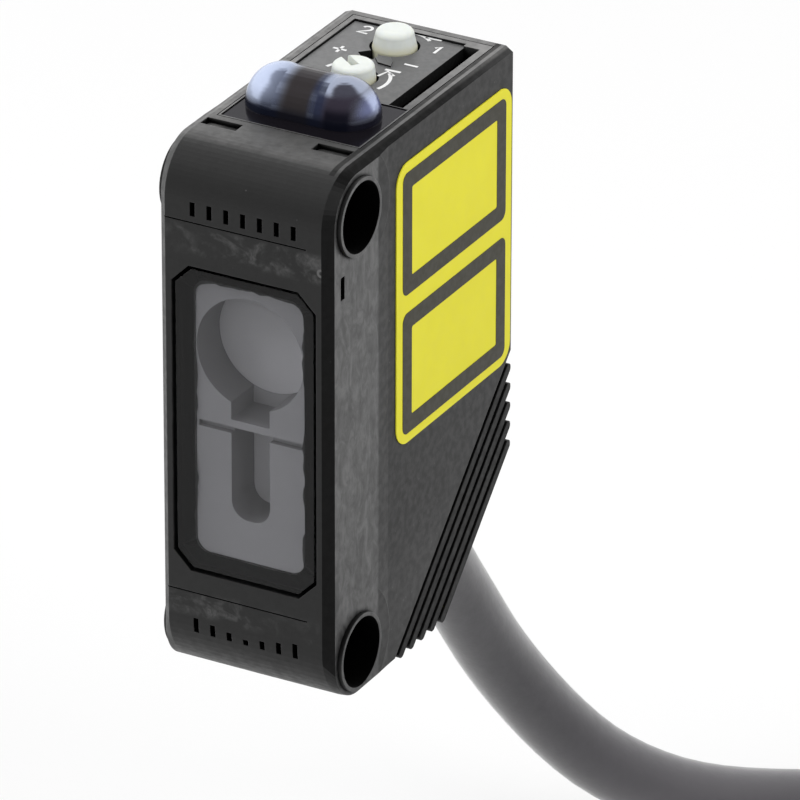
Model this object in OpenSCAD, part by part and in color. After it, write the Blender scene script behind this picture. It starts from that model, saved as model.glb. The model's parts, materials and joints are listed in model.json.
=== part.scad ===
// Compact laser photoelectric sensor with a moulded case, two mounting holes and a cable.
// X runs across the case, Y from the front to the rear, Z up. Millimetres.

/* [Case] */
// Width of the case across its raised front strips
body_w = 10.3; // [9.8:0.1:10.4]
// Depth of the case from the front face to the rear face
body_d = 20; // [19.6:0.2:20.4]
// Height of the case
body_h = 31; // [30.8:0.1:31.4]
// Bevel along the front edges of both side faces
bevel = 0.5; // [0.3:0.05:0.6]
// Radius of the upper front corner
corner_r = 2.8; // [2.4:0.1:3]
// Radius of the lower front corner
low_corner_r = 3.8; // [2.8:0.1:4]
// Depth of the label faces below the front strips
side_step = 0.1; // [0.05:0.01:0.15]

/* [Ribbed corner] */
// Distance of the inner end of the ribbed corner from the front, along the bottom
slant_in = 6.9; // [6.4:0.1:7.2]
// Distance of the slanted face from the front, along the bottom
slant_out = 12.65; // [12.2:0.05:12.8]
// Number of ribs
rib_count = 5; // [4:1:6]
// Width of the groove beside each rib
groove_w = 0.3; // [0.24:0.02:0.4]
// Depth of the grooves
groove_depth = 0.8; // [0.4:0.05:1]

/* [Mounting holes] */
// Distance between the two hole axes
hole_spacing = 25.4; // [25:0.1:25.6]
// Distance of the hole axes from the front face
hole_back = 2.9; // [2.8:0.05:3]
// Diameter of the through bore
bore_d = 3.2; // [3:0.1:3.4]
// Diameter of the mouth on each side
mouth_d = 3.9; // [3.7:0.05:4]
// Depth of each mouth
mouth_depth = 2.6; // [2:0.1:3]
// Width of the case across the raised collars
overall_w = 10.8; // [10.6:0.1:11]
// Wall of the raised collars
collar_wall = 0.22; // [0.2:0.02:0.4]

/* [Window] */
// Width of the front window
window_w = 8.26; // [8.1:0.02:8.3]
// Height of the front window
window_h = 17.48; // [17.3:0.02:17.6]
// Thickness of the front window
window_t = 0.85; // [0.7:0.05:1]
// Corner chamfer of the front window
window_chamfer = 0.95; // [0.8:0.05:1.1]
// Height of the window centre above the bottom
window_z = 15.68; // [15.5:0.02:15.8]

/* [Optics] */
// Radius of the round recess
recess_r = 3.2; // [3:0.05:3.2]
// Depth of both recesses
recess_depth = 2.35; // [2:0.05:2.5]
// Height of the round recess centre above the bottom
recess_z = 19.9; // [19.6:0.1:20.1]
// Width of the lower slot
beam_w = 2.3; // [2.1:0.1:2.4]

/* [Controls] */
// Sideways place of both control shafts
control_x = -0.55; // [-0.6:0.05:-0.5]
// Distance of the sensitivity adjuster from the front face
adjuster_y = 12.7; // [12.6:0.05:12.8]
// Distance of the operation selector from the front face
selector_y = 17.2; // [17.1:0.05:17.3]
// Radius of the control knobs
knob_r = 1.21; // [1.1:0.01:1.3]

/* [Indicator] */
// Radius of each lobe of the indicator dome
lobe_r = 1.97; // [1.9:0.01:2]
// Distance between the two lobes
lobe_pitch = 3.7; // [3.4:0.1:3.7]
// Height of the dome above the top of the case
dome_h = 2.2; // [2:0.1:3]

/* [Cable] */
// Diameter of the cable
cable_d = 4; // [3.8:0.1:4]
// Straight run of the tied hank
hank_run = 60; // [50:1:60]
// Layers of cable in the hank
hank_layers = 5; // [4:1:6]
// Width of the strap round the hank
tie_w = 6; // [4:1:8]

/* [Hidden] */
$fn = 64;
gap = 0.05;
over = 1;

// Case
hole_low_z = (body_h - hole_spacing) / 2;
hole_zs = [hole_low_z, hole_low_z + hole_spacing];
boss_r = 2.8;
left_bevel = 0.2;
right_bevel = 0.35;
rear_r = 0.1;
floor_t = 1;
front_t = 1.7;
rear_wall = 0.9;
inside_x = 4.1;
ledge_z = body_h - 1.6;
slant_wall = 1.5;
face_x = body_w / 2 - side_step;
strip_y = 5.1;
ramp_y = 6.4;
swell_r = 3.5;
vent_pitch = 1;
vent_w = 0.3;
vent_depth = 0.5;
vent_high_z = 27.5;
vent_low_z = 3.1;
line_w = 0.07;
latch_xs = [-3.55, 3.05];
latch_w = 2.1;
latch_y = 3.65;
latch_l = 0.8;
latch_depth = 0.65;

// Window and optics
rebate_gap = 0.2;
window_y = 0.1;
seal_t = 0.1;
pad_y = window_y + window_t + seal_t;
light_w = 6.6;
light_h = 16;
light_z = 15.7;
light_r = 0.9;
holder_back = 6.6;
lens_y = pad_y + recess_depth;
lens_t = 1.9;
beam_low_z = 10.15;
divider_z = 15.45;
divider_t = 0.45;
divider_groove = 0.35;
emitter_z = 12.7;
can_r = 1.65;

// Boards
board_y = 11;
board_t = 0.8;
board_low_z = 11.6;
shelf_z = 27.4;
shelf_top = shelf_z + board_t;
pin_w = 0.4;

// Top
cover_x0 = -4.35;
cover_x1 = 4.2;
cover_y0 = 4.9;
cover_y1 = 19.5;
deck_z = body_h - 0.8;
panel_x0 = -4;
panel_x1 = 2.75;
panel_y0 = 10.35;
panel_y1 = 19.05;
panel_t = 0.68;
channel_w = 0.97;
dome_x = -0.32;
dome_y = 8.05;
dome_foot_y1 = panel_y0 - 0.05;
stem_r = 0.7;
socket_r = stem_r + gap;
seal_r = 0.98;
seal_wire_r = 0.21;

// Label
label_y = [7.2, 19.8];
label_z = [12.68, 29.02];
label_t = 0.06;
frame_w = 0.98;
frame_in = 0.65;
frame_below_top = 0.58;
frame_h = 7.09;
frame_gap = 1.05;

// Cable
axis_sum = 20.1;
exit_y = (axis_sum + slant_out) / 2;
exit_z = axis_sum - exit_y;
bush_r = 3.1;
core_r = 0.45;
floor_z = -20;
cable_z = floor_z + cable_d / 2;
turn_pitch = 4.1;
hank_in_r = 13;
hank_out_r = hank_in_r + turn_pitch;
hank_half = hank_out_r + turn_pitch / 2;
hank_h = hank_layers * turn_pitch - 0.1;
hank_x = 45.4;
hank_y = 18.5;
tie_t = 0.8;
lead_x0 = 47.2;
lead_l = 24;
lead_r = 0.55;
lead_pitch = 1.25;
bare_l = 5;
cable_route = [
    [0, 10.7, 9.4], [0, 13.4, 6.7], [0, 16.1, 4], [0.2, 17.9, 2.1], [0.5, 19.5, 0.1],
    [0.8, 20.8, -2.1], [1.3, 22, -4.4], [1.9, 23.1, -6.7], [2.7, 24.1, -8.8],
    [3.8, 25.1, -10.9], [5.1, 26.1, -12.9], [6.7, 27.1, -14.7], [8.5, 28.2, -16.1],
    [10.6, 29.5, -17.2], [12.8, 30.8, -17.8], [15.2, 32.1, -18], [17.8, 33.4, -18],
    [20.6, 34.5, -18], [23.6, 35.3, -18], [26.8, 35.6, -18], [35, 35.6, -18],
    [45.4, 35.6, -18]
];

// Moves a piece from the front bottom centre of the case to the frame of the mounting holes
module seated() {
    translate([0, -hole_back, -body_h / 2]) children();
}

// Extrudes a side outline, drawn as depth and height, across the case
module across(w) {
    rotate([90, 0, 90]) linear_extrude(w, center = true) children();
}

// The same from x0 to x1
module between(x0, x1) {
    translate([(x0 + x1) / 2, 0, 0]) across(x1 - x0) children();
}

// Extrudes a front outline, drawn as width and height, from y0 to y1
module into(y0, y1) {
    translate([0, y1, 0]) rotate([90, 0, 0]) linear_extrude(y1 - y0) children();
}

// A box from its lowest corner to its highest corner
module block(low, high) {
    translate(low) cube(high - low);
}

module rounded(w, h, r) {
    square([w - 2 * r, h], center = true);
    square([w, h - 2 * r], center = true);
    for (x = [-1, 1], y = [-1, 1]) translate([x * (w / 2 - r), y * (h / 2 - r)]) circle(r);
}

module chamfered(w, h, c) {
    x = w / 2;
    y = h / 2;
    polygon([
        [x - c, y], [-x + c, y], [-x, y - c], [-x, -y + c],
        [-x + c, -y], [x - c, -y], [x, -y + c], [x, y - c]
    ]);
}

// A straight round rod between two points
module rod(from, to, r) {
    run = to - from;
    length = norm(run);
    translate(from) rotate([0, acos(run[2] / length), atan2(run[1], run[0])])
        cylinder(h = length, r = r, $fn = 32);
}

function arc(y, z, r, from, to, steps = 16) = [
    for (i = [0:steps]) let (a = from + (to - from) * i / steps) [y + r * cos(a), z + r * sin(a)]
];

// Case
// Outline of the case, set back at the front, and at the top and bottom
module case_outline(front, inset, low_r) {
    high_r = corner_r - inset;
    top = body_h - inset;
    polygon(concat(
        arc(front + low_r, inset + low_r, low_r, 180, 270),
        [[slant_out, inset], [body_d, body_d - slant_out]],
        arc(body_d - rear_r, top - rear_r, rear_r, 0, 90, 4),
        arc(front + high_r, top - high_r, high_r, 90, 180)
    ));
}

module bevelled_case() {
    hull() {
        across(body_w - 2 * bevel) case_outline(0, 0, low_corner_r);
        between(-body_w / 2, 0) case_outline(bevel, left_bevel, corner_r - left_bevel);
        between(0, body_w / 2) case_outline(bevel, right_bevel, corner_r - right_bevel);
    }
}

module above_slant(at) {
    polygon([
        [at - over, -over], [body_d + over, body_d + over - at],
        [body_d + over, body_h + over], [-over, body_h + over], [-over, -over]
    ]);
}

// A strip of the ribbed corner between two distances from the front, along the bottom
module slant_strip(near, far, inset) {
    polygon([
        [near + inset, inset], [far + inset, inset],
        [body_d - inset, body_d - inset - far], [body_d - inset, body_d - inset - near]
    ]);
}

// One rib with a round back and round ends
module rib(near, far) {
    round_r = 0.23;
    hull() for (step = [[0.6, 0], [0.2, 0.12], [0, 0.7]]) {
        inset = step[1] * round_r;
        across(body_w + 0.1 - 2 * step[0] * round_r) offset(r = round_r - inset, $fn = 16)
            offset(delta = -round_r) slant_strip(near, far, 0);
    }
}

module ribbed_corner() {
    pitch = (slant_out - slant_in) / rib_count;
    groove = groove_w * sqrt(2);
    core_far = slant_out - 0.3;
    across(body_w - 2 * groove_depth) slant_strip(slant_in - 0.5, core_far, groove_depth);
    for (i = [0:rib_count - 1]) rib(slant_in + groove + i * pitch, slant_in + (i + 1) * pitch);
}

// The label faces lie a little below the strip that runs round the holes
module side_relief() {
    for (side = [-1, 1]) difference() {
        translate([0, 0, -over]) linear_extrude(body_h + 2 * over) polygon([
            [side * body_w / 2, strip_y], [side * face_x, ramp_y], [side * face_x, body_d + over],
            [side * (body_w / 2 + over), body_d + over], [side * (body_w / 2 + over), strip_y]
        ]);
        for (z = hole_zs) translate([0, hole_back, z]) rotate([0, 90, 0])
            cylinder(h = body_w + 4 * over, r = swell_r, center = true);
    }
}

module hole_cutter() {
    for (z = hole_zs) translate([0, hole_back, z]) {
        rotate([0, 90, 0]) cylinder(h = overall_w + 2 * over, r = bore_d / 2, center = true);
        for (side = [-1, 1]) rotate([0, side * 90, 0])
            translate([0, 0, overall_w / 2 - mouth_depth]) cylinder(h = mouth_depth + over, r = mouth_d / 2);
    }
}

module collars() {
    for (z = hole_zs) translate([0, hole_back, z]) rotate([0, 90, 0])
        cylinder(h = overall_w, r = mouth_d / 2 + collar_wall, center = true);
}

module case_hollow() {
    slant = slant_in - slant_wall;
    rear = body_d - rear_wall;
    difference() {
        across(2 * inside_x) polygon([
            [front_t, floor_t], [slant + floor_t, floor_t], [rear, rear - slant],
            [rear, ledge_z], [front_t, ledge_z]
        ]);
        for (z = hole_zs) translate([0, hole_back, z]) rotate([0, 90, 0])
            cylinder(h = body_w, r = boss_r, center = true);
    }
    block([cover_x0, cover_y0, ledge_z], [cover_x1, cover_y1, body_h + over]);
}

module window_opening() {
    translate([0, 0, window_z]) into(-over, pad_y)
        chamfered(window_w + 2 * rebate_gap, window_h + 2 * rebate_gap, window_chamfer + 0.6 * rebate_gap);
    translate([0, 0, light_z]) into(0, front_t + 0.01) rounded(light_w, light_h, light_r);
}

module vents() {
    for (i = [-3:3]) {
        low_h = 0.33 + 0.18 * abs(i);
        x = i * vent_pitch - vent_w / 2;
        block([x, -over, vent_high_z], [x + vent_w, vent_depth, vent_high_z + 0.8]);
        block([x, -over, vent_low_z], [x + vent_w, vent_depth, vent_low_z + low_h]);
    }
}

module parting_lines() {
    depth = 0.08;
    for (z = [5.45, 27.1]) block([-body_w, -over, z], [body_w / 2 - 1.4, depth, z + line_w]);
}

module latch_slots() {
    for (x = latch_xs) {
        block([x - latch_w / 2, latch_y, body_h - latch_depth], [x + latch_w / 2, latch_y + latch_l, body_h + over]);
        block([x - latch_w / 2, latch_y, body_h - latch_depth], [x + latch_w / 2, cover_y0 + over, body_h - 0.25]);
    }
}

// Turns a piece so that its +Z leaves the slanted face at the cable outlet
module at_outlet() {
    translate([0, exit_y, exit_z]) rotate([-135, 0, 0]) children();
}

module case_shell() {
    color("#2b2b2c") seated() difference() {
        union() {
            intersection() {
                bevelled_case();
                across(body_w + over) above_slant(slant_in);
            }
            ribbed_corner();
            collars();
        }
        side_relief();
        case_hollow();
        hole_cutter();
        window_opening();
        vents();
        parting_lines();
        latch_slots();
        at_outlet() cylinder(h = 20, r = bush_r, center = true);
        block([body_w / 2 - 0.3, 1.15, 24.05], [body_w / 2 + 0.05, 1.55, 25.35]);
    }
}

// Window and optics
module window() {
    color("#5a5c60", 0.6) seated() translate([0, 0, window_z]) into(window_y, window_y + window_t)
        chamfered(window_w, window_h, window_chamfer);
}

module window_seal() {
    color("#1c1c1e") seated() into(window_y + window_t, pad_y) difference() {
        translate([0, window_z]) chamfered(window_w, window_h, window_chamfer);
        translate([0, light_z]) rounded(light_w, light_h, light_r);
    }
}

module beam_outline(grow) {
    end_r = 1;
    w = beam_w + 2 * grow;
    high = divider_z + grow;
    translate([-w / 2, beam_low_z + end_r]) square([w, high - beam_low_z - end_r]);
    translate([0, beam_low_z + end_r]) square([w - 2 * end_r, 2 * end_r + 2 * grow], center = true);
    for (x = [-1, 1]) translate([x * (beam_w / 2 - end_r), beam_low_z + end_r]) circle(end_r + grow);
}

module optics_holder() {
    color("#9b9ea0") seated() difference() {
        union() {
            translate([0, 0, light_z]) into(pad_y, front_t + 0.1)
                rounded(light_w - 2 * gap, light_h - 2 * gap, light_r - gap);
            block([-inside_x, front_t, 6.6], [inside_x, holder_back, 24.6]);
        }
        translate([0, 0, recess_z]) rotate([-90, 0, 0]) {
            cylinder(h = lens_y + lens_t, r = recess_r);
            cylinder(h = 2 * holder_back, r = 2.5);
        }
        block([-beam_w / 2, 0, divider_z + divider_t], [beam_w / 2, lens_y, recess_z]);
        into(0, lens_y + 1.2) beam_outline(0);
        block([-3.1, 0, divider_z - divider_groove], [3.1, pad_y + 0.35, divider_z]);
        translate([0, 0, emitter_z]) rotate([-90, 0, 0]) cylinder(h = 2 * holder_back, r = 0.95);
        translate([0, 5, emitter_z]) rotate([-90, 0, 0]) cylinder(h = holder_back, r = can_r + gap);
    }
}

module receiver_lens() {
    rear_r = 2.45;
    color("#b4b8bc", 0.8) seated() translate([0, lens_y, recess_z]) rotate([-90, 0, 0]) rotate_extrude()
        polygon(concat(
            [[0, 0], [recess_r - 0.02, 0], [recess_r - 0.02, lens_t], [rear_r, lens_t]],
            [for (i = [0:12]) let (a = i * 90 / 12) [rear_r * cos(a), lens_t + 0.9 * sin(a)]]
        ));
}

module collimator_lens() {
    color("#b4b8bc", 0.8) seated() {
        into(lens_y, lens_y + 1.2) beam_outline(-0.02);
        translate([0, lens_y + 1.2, emitter_z]) rotate([-90, 0, 0]) cylinder(h = 0.25, r1 = 0.9, r2 = 0.5);
    }
}

module laser_diode() {
    color("#b9bbbd") seated() translate([0, 0, emitter_z]) rotate([-90, 0, 0]) {
        difference() {
            translate([0, 0, 5.05]) cylinder(h = holder_back - 5.05, r = can_r);
            translate([0, 0, 5]) cylinder(h = 0.3, r = 0.5);
        }
        translate([0, 0, holder_back]) cylinder(h = 0.6, r = 2.3);
        for (x = [-0.6, 0.6]) translate([x, 0, holder_back + 0.5]) cylinder(h = 5.6, r = 0.22, $fn = 24);
    }
}

module photodiode() {
    color("#1d1f24") seated() block([-1.4, board_y - 0.8, recess_z - 1.3], [1.4, board_y, recess_z + 1.3]);
}

module shield_can() {
    wall = 0.25;
    x = 2.3;
    front = board_y - 2.5;
    color("#c6c8ca") seated() difference() {
        block([-x, front, recess_z - 2.5], [x, board_y, recess_z + 2.5]);
        block([-x + wall, front + wall, recess_z - 2.5 + wall], [x - wall, board_y + over, recess_z + 2.5 - wall]);
        translate([0, front - over, recess_z]) rotate([-90, 0, 0]) cylinder(h = 2 * over, r = 1.2);
    }
}

// Boards
module main_board() {
    color("#1f6b3a") seated() difference() {
        block([-inside_x, board_y, board_low_z], [inside_x, board_y + board_t, shelf_z]);
        for (x = [-0.6, 0.6]) translate([x, board_y - over, emitter_z]) rotate([-90, 0, 0])
            cylinder(h = 3 * over, r = 0.27);
    }
}

module pin_row(w, z0, z1) {
    y = board_y + board_t + pin_w / 2;
    for (i = [-1.5:1.5]) block([i * 1.5 - w / 2, y - w / 2, z0], [i * 1.5 + w / 2, y + w / 2, z1]);
}

module control_board() {
    color("#1f6b3a") seated() difference() {
        block([-inside_x, 6.4, shelf_z], [inside_x, body_d - rear_wall - 0.2, shelf_top]);
        pin_row(pin_w + 0.06, shelf_z - over, shelf_top + over);
    }
}

module board_pins() {
    color("#c9a24a") seated() pin_row(pin_w, shelf_z - 1.8, shelf_top);
}

// Top
module stem_holes(r, z0, z1) {
    for (y = [adjuster_y, selector_y]) translate([control_x, y, z0]) cylinder(h = z1 - z0, r = r);
}

module top_cover() {
    color("#303031") seated() difference() {
        union() {
            block([cover_x0 + gap, cover_y0 + gap, ledge_z], [cover_x1 - gap, cover_y1 - gap, body_h]);
            for (x = latch_xs) block(
                [x - latch_w / 2 + 0.1, latch_y + 0.15, body_h - latch_depth + 0.02],
                [x + latch_w / 2 - 0.1, cover_y0 + 0.2, body_h - 0.27]
            );
        }
        block([panel_x0, panel_y0, deck_z], [panel_x1, panel_y1, body_h + over]);
        block([panel_x1 - over, panel_y0, ledge_z + 0.5], [panel_x1 + channel_w, panel_y1 - 0.3, body_h + over]);
        block([cover_x0 + 0.15, cover_y0 + 0.15, deck_z], [cover_x1 - 0.15, dome_foot_y1, body_h + over]);
        stem_holes(socket_r + 0.02, 0, body_h);
        stem_holes(seal_r + seal_wire_r + 0.02, deck_z - 0.5, body_h);
        for (side = [-0.5, 0.5]) translate([dome_x + side * lobe_pitch, dome_y, 0])
            cylinder(h = body_h, r = 1.3);
    }
}

module control_panel() {
    top = deck_z + panel_t;
    color("#7f8280") seated() {
        difference() {
            block([panel_x0 + gap, panel_y0, deck_z], [panel_x1, panel_y1 - gap, top]);
            stem_holes(knob_r + 0.15, deck_z - over, body_h);
            translate([control_x, selector_y, deck_z + 0.2]) linear_extrude(over)
                polygon([[-1.35, -1.6], [-0.8, -2.1], [-0.25, -2.1], [-0.1, -1.7], [-0.6, -0.8]]);
        }
        translate([control_x, selector_y, top - 0.1]) linear_extrude(0.2)
            polygon([[-0.1, -1.95], [0.3, -2.4], [1.15, -2.5], [0.95, -1.95], [0.55, -1.5], [0.05, -1.6]]);
    }
}

// One lobe of the dome, turned from its half section
module lobe() {
    skirt = 0.1;
    rotate_extrude() polygon(concat(
        [[0, 0], [lobe_r, 0]],
        [for (i = [0:14]) let (a = i * 90 / 14) [lobe_r * cos(a), skirt + (dome_h - skirt) * sin(a)]]
    ));
}

module indicator_dome() {
    foot_z = body_h - 0.05;
    saddle_r = lobe_r - 0.03;
    color("#3a4470", 0.6) seated() {
        block([cover_x0 + 0.2, cover_y0 + 0.2, deck_z], [cover_x1 - 0.2, dome_foot_y1, foot_z]);
        for (side = [-0.5, 0.5]) translate([dome_x + side * lobe_pitch, dome_y, foot_z]) lobe();
        translate([dome_x - lobe_pitch / 2, dome_y, foot_z]) rotate([90, 0, 90]) linear_extrude(lobe_pitch)
            polygon(concat(
                [[-saddle_r, 0], [saddle_r, 0]],
                [for (i = [0:20]) let (a = i * 9) [saddle_r * cos(a), 0.1 + (dome_h - 0.17) * sin(a)]]
            ));
    }
}

module led_chip(x) {
    translate([x, dome_y, shelf_top]) {
        translate([-0.8, -0.4, 0]) cube([1.6, 0.8, 0.35]);
        translate([-0.5, -0.4, 0.3]) cube([1, 0.8, 0.35]);
    }
}

module stability_led() {
    color("#58c878") seated() led_chip(dome_x - lobe_pitch / 2);
}

module output_led() {
    color("#f08c3c") seated() led_chip(dome_x + lobe_pitch / 2);
}

module control_base(y) {
    half = 1.45;
    difference() {
        block([control_x - half, y - half, shelf_top], [control_x + half, y + half, ledge_z - 0.05]);
        translate([control_x, y, shelf_top + 0.15]) cylinder(h = 2, r = socket_r);
    }
}

module adjuster_base() {
    color("#2e5f9e") seated() control_base(adjuster_y);
}

module selector_base() {
    color("#1e1e20") seated() control_base(selector_y);
}

module shaft_seal(y) {
    translate([control_x, y, deck_z - 0.5 + seal_wire_r]) rotate_extrude() translate([seal_r, 0])
        circle(seal_wire_r, $fn = 24);
}

module adjuster_seal() {
    color("#222222") seated() shaft_seal(adjuster_y);
}

module selector_seal() {
    color("#222222") seated() shaft_seal(selector_y);
}

// Half section of a knob: stem below, drafted head with a rounded edge above
module knob_turned(head_h, top_r, edge_r) {
    low = shelf_top + 0.2;
    head = deck_z + 0.1;
    top = body_h - 0.12 + head_h;
    rotate_extrude() polygon(concat(
        [[0, low], [stem_r, low], [stem_r, head], [knob_r, head], [knob_r, body_h - 0.1]],
        [for (i = [0:6]) let (a = i * 15) [top_r - edge_r + edge_r * cos(a), top - edge_r + edge_r * sin(a)]],
        [[0, top]]
    ));
}

module adjuster_knob() {
    head_h = 0.85;
    top = body_h - 0.12 + head_h;
    color("#dfe3df") seated() translate([control_x, adjuster_y, 0]) difference() {
        knob_turned(head_h, 1.14, 0.26);
        translate([0, 0, top]) rotate([0, 0, 144]) translate([-0.3, 0, 0]) rotate([90, 0, 90])
            linear_extrude(2 * knob_r) polygon([[-0.2, 0.1], [-0.2, -0.6], [-0.1, -0.6], [0.32, 0.1]]);
    }
}

module selector_knob() {
    color("#dfe3df") seated() translate([control_x, selector_y, 0]) knob_turned(1.05, 1.05, 0.36);
}

// Label
module label_area(inset, low, high, r) {
    w = label_y[1] - label_y[0] - 2 * inset;
    translate([(label_y[0] + label_y[1]) / 2, (low + high) / 2]) rounded(w, high - low, r);
}

module side_label() {
    color("#e0d932") seated() intersection() {
        between(face_x, face_x + label_t) label_area(0, label_z[0], label_z[1], 1.2);
        across(2 * body_w) above_slant(slant_in - 0.05);
    }
}

module label_print() {
    print_t = 0.02;
    color("#38383a") seated() between(face_x + label_t, face_x + label_t + print_t) for (i = [0:1]) {
        high = label_z[1] - frame_below_top - i * (frame_h + frame_gap);
        low = high - frame_h;
        difference() {
            label_area(frame_in, low, high, 0.5);
            label_area(frame_in + frame_w, low + frame_w, high - frame_w, 0.12);
        }
    }
}

// Cable outlet
module cable_bush() {
    inner = (slant_out - slant_in + slant_wall) / sqrt(2);
    flange_t = 0.8;
    color("#3a3a3d") seated() at_outlet() difference() {
        union() {
            translate([0, 0, -inner]) cylinder(h = inner + 0.3, r = bush_r - 0.03);
            translate([0, 0, -inner - flange_t]) cylinder(h = flange_t, r = 3.8);
        }
        translate([0, 0, -20]) cylinder(h = 40, r = cable_d / 2);
    }
}

module cable_clamp() {
    high = -(slant_out - slant_in + slant_wall) / sqrt(2) - 0.8;
    color("#b0b2b4") seated() at_outlet() translate([0, 0, high - 0.9]) difference() {
        cylinder(h = 0.9, r = 2.6);
        translate([0, 0, -over]) cylinder(h = 3, r = cable_d / 2 + 0.02);
    }
}

module core_wires() {
    inward = [0, -1, 1] / sqrt(2);
    upward = [0, 1, 1] / sqrt(2);
    front = board_y - core_r - 0.04;
    starts = [[-0.62, -0.36], [0.62, -0.36], [0, 0.72]];
    rises = [[-2.75, front, 11.6], [1.6, front, 11.6], [-1.45, front, 11.7]];
    color("#8a5a3a") seated() for (i = [0:2]) {
        from = cable_route[0] + [starts[i][0], 0, 0] + starts[i][1] * upward;
        bend = from + 0.8 * inward;
        rod(from, bend, core_r);
        translate(bend) sphere(core_r + 0.02, $fn = 24);
        rod(bend, rises[i], core_r);
        translate(rises[i]) sphere(core_r + 0.02, $fn = 24);
        rod(rises[i], rises[i] + [0, 0, 2.4], core_r);
    }
}

// Cable
function unit(v) = v / norm(v);
function heading(i) = unit(cable_route[min(i + 1, len(cable_route) - 1)] - cable_route[max(i - 1, 0)]);
function ring_side(i) = unit(cross(heading(i), [0, 0, 1]));
function ring_up(i) = cross(ring_side(i), heading(i));
function ring(i, sides) = [
    for (k = [0:sides - 1]) let (a = 360 * k / sides)
        cable_route[i] + cable_d / 2 * (cos(a) * ring_side(i) + sin(a) * ring_up(i))
];

module cable() {
    sides = 10;
    stops = [0, 2, 4, 6, 8, 10, 12, 14, 16, 18, 21];
    rings = [for (i = stops) each ring(i, sides)];
    last = len(stops) - 1;
    walls = [
        for (j = [0:last - 1], k = [0:sides - 1])
            let (a = j * sides + k, b = j * sides + (k + 1) % sides) [a, b, b + sides, a + sides]
    ];
    caps = [[for (k = [0:sides - 1]) sides - 1 - k], [for (k = [0:sides - 1]) last * sides + k]];
    color("#6a6b6f") seated() polyhedron(rings, concat(walls, caps), convexity = 6);
}

module hank_outline() {
    for (x = [0, hank_run]) translate([hank_x + x, hank_y]) circle(hank_half);
    translate([hank_x, hank_y - hank_half]) square([hank_run, 2 * hank_half]);
}

tie_x = hank_x + hank_run / 2;

// The run rises over the strap below it and carries the strap above it
module tie_rise(z) {
    flat = tie_w / 2 + 2;
    slope = 10;
    translate([tie_x, hank_y + hank_half, z]) rotate([90, 0, 0]) linear_extrude(2 * hank_half) polygon([
        [-flat - slope, -over], [-flat - slope, 0], [-flat, tie_t],
        [flat, tie_t], [flat + slope, 0], [flat + slope, -over]
    ]);
}

module tie_strap() {
    low = [tie_x - tie_w / 2, hank_y - hank_half, floor_z];
    size = [tie_w, 2 * hank_half, hank_h + 2 * tie_t];
    difference() {
        translate(low) cube(size);
        translate(low + [-over, tie_t, tie_t]) cube(size + [2 * over, -2 * tie_t, -2 * tie_t]);
    }
}

module cable_hank() {
    lead_y = hank_y + hank_in_r;
    color("#5f6064") seated() difference() {
        union() {
            translate([0, 0, floor_z]) linear_extrude(hank_h) hank_outline();
            tie_rise(floor_z + hank_h);
        }
        tie_rise(floor_z);
        tie_strap();
        block([0, cable_route[21][1] - 2.1, floor_z - over], [hank_x, hank_y + 40, floor_z + 4.1]);
        block(
            [lead_x0, lead_y - 2.05, floor_z + hank_h - 4],
            [lead_x0 + lead_l + 0.5, lead_y + 2.05, floor_z + hank_h + 2 * tie_t]
        );
    }
}

module cable_tie() {
    top = floor_z + hank_h + 2 * tie_t;
    head = [tie_x - tie_w / 2 - 0.6, hank_y - 12, top + 0.02];
    head_size = [tie_w + 1.2, 7, 3.1];
    tail_in = 0.3;
    color("#d8d8d4") seated() {
        tie_strap();
        block([tie_x - tie_w / 2, head[1], top - tie_t / 2], [tie_x + tie_w / 2, head[1] + head_size[1], top + 0.4]);
        difference() {
            translate(head) cube(head_size);
            translate([tie_x - tie_w / 2, head[1] + 2, top + 1]) cube([tie_w, head_size[1], 1.1]);
        }
        block(
            [tie_x - tie_w / 2 + tail_in, head[1] - 5.5, top + 1.1],
            [tie_x + tie_w / 2 - tail_in, head[1] + over, top + 1.9]
        );
    }
}

module lead(place) {
    z = floor_z + hank_h - 4 + lead_r;
    translate([lead_x0, hank_y + hank_in_r + place * lead_pitch, z]) rotate([0, 90, 0]) {
        cylinder(h = lead_l - bare_l, r = lead_r, $fn = 24);
        cylinder(h = lead_l, r = 0.3, $fn = 24);
    }
}

module lead_brown() {
    color("#6b3f24") seated() lead(-1);
}

module lead_blue() {
    color("#2a52a8") seated() lead(0);
}

module lead_black() {
    color("#1a1a1c") seated() lead(1);
}

case_shell();
window();
window_seal();
optics_holder();
receiver_lens();
collimator_lens();
laser_diode();
photodiode();
shield_can();
main_board();
control_board();
board_pins();
top_cover();
control_panel();
indicator_dome();
stability_led();
output_led();
adjuster_base();
adjuster_seal();
adjuster_knob();
selector_base();
selector_seal();
selector_knob();
side_label();
label_print();
cable_bush();
cable_clamp();
core_wires();
cable();
cable_hank();
cable_tie();
lead_brown();
lead_blue();
lead_black();
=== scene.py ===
"""Looks of the laser photoelectric sensor: camera, cable, finishes, printed marks and light."""

import json
from math import cos, pi, radians, sin

import bmesh
import bpy
from mathutils import Euler, Matrix, Vector


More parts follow.
